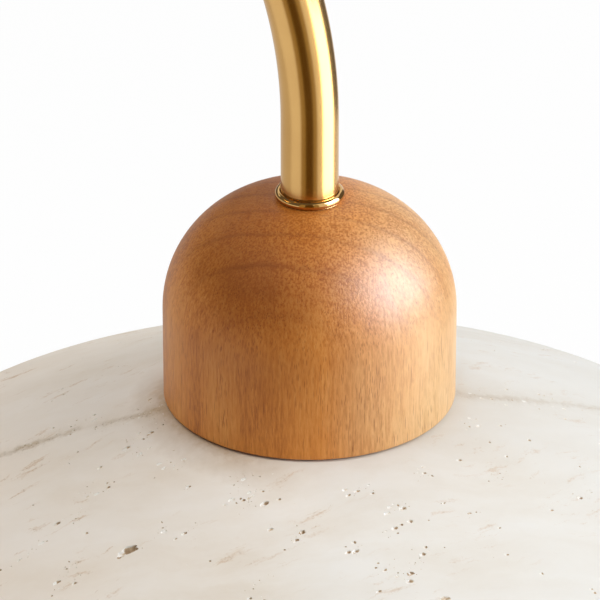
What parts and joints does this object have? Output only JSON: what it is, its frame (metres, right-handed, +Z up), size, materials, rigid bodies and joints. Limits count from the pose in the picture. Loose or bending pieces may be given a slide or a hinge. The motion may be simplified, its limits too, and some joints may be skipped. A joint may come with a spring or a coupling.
{
  "type": "wall sconce",
  "caption": "Swing-arm wall sconce: a bent brass tube carries a turned wooden cap and a shallow travertine shade over a screw-in lamp, with a rotary switch on its round wall plate.",
  "frame": {"origin": "centre of the mounting strap's two screw slots, on the wall plane", "axes": "+Y into the wall, +Z up; the lamp stands out along -Y and the strap's slots lie along X"},
  "size_m": [0.27, 0.3676, 0.3681],
  "materials": {
    "satin_brass": "satin, brushed along the tube",
    "polished_brass": "polished",
    "contact_brass": "bare",
    "zinc_steel": "zinc plated",
    "green_screw": "green passivated",
    "lead_sheath": "matt",
    "connector_plastic": "matt",
    "black_plastic": "matt",
    "cap_wood": "satin lacquer",
    "felt": "felted",
    "travertine": "honed, with open pits",
    "rubber": "matt",
    "porcelain": "glazed",
    "lamp_metal": "bright",
    "lamp_white": "semi-gloss",
    "lamp_opal": "opal"
  },
  "bodies": {
    "wall_mount": {"mounting_strap": "zinc_steel", "ground_screw": "green_screw", "plate_studs": "zinc_steel", "wall_plate": "satin_brass", "plate_cap_nuts": "polished_brass", "fork_bracket": "satin_brass", "fork_washer": "zinc_steel", "fork_nut": "zinc_steel", "pivot_screws": "polished_brass", "swing_stop_pin": "zinc_steel", "wall_lead": "lead_sheath", "wire_connectors": "connector_plastic", "switch_body": "black_plastic", "switch_nut": "polished_brass"},
    "switch": {"switch_shaft": "zinc_steel", "switch_knob": "polished_brass", "knob_grub_screw": "zinc_steel"},
    "arm": {"knuckle": "satin_brass", "arm_tube": "satin_brass", "tube_plug": "satin_brass", "wall_bead": "polished_brass", "cap_bead": "polished_brass", "thrust_washers": "contact_brass", "centre_contact": "contact_brass", "screw_shell": "contact_brass", "arm_grub_screw": "zinc_steel", "nipple": "zinc_steel", "cap_washer": "zinc_steel", "cap_nut": "zinc_steel", "arm_lead": "lead_sheath", "shade_ring": "black_plastic", "lampholder_cap": "black_plastic", "lampholder_skirt": "black_plastic", "lamp_contact": "black_plastic", "wooden_cap": "cap_wood", "felt_pad": "felt", "stone_shade": "travertine", "ring_pad": "rubber", "contact_block": "porcelain", "lamp_screw_cap": "lamp_metal", "lamp_neck_housing": "lamp_white", "lamp_globe": "lamp_opal"}
  },
  "joints": [
    {"name": "arm_swing", "type": "hinge", "parent": "wall_mount", "child": "arm", "pos_m": [0, -0.0486, 0], "axis": [0, 0, 1], "range_deg": [-45, 45]},
    {"name": "switch_turn", "type": "hinge", "parent": "wall_mount", "child": "switch", "pos_m": [0, -0.035, -0.042], "axis": [0, 1, 0], "range_deg": [0, 270]}
  ]
}
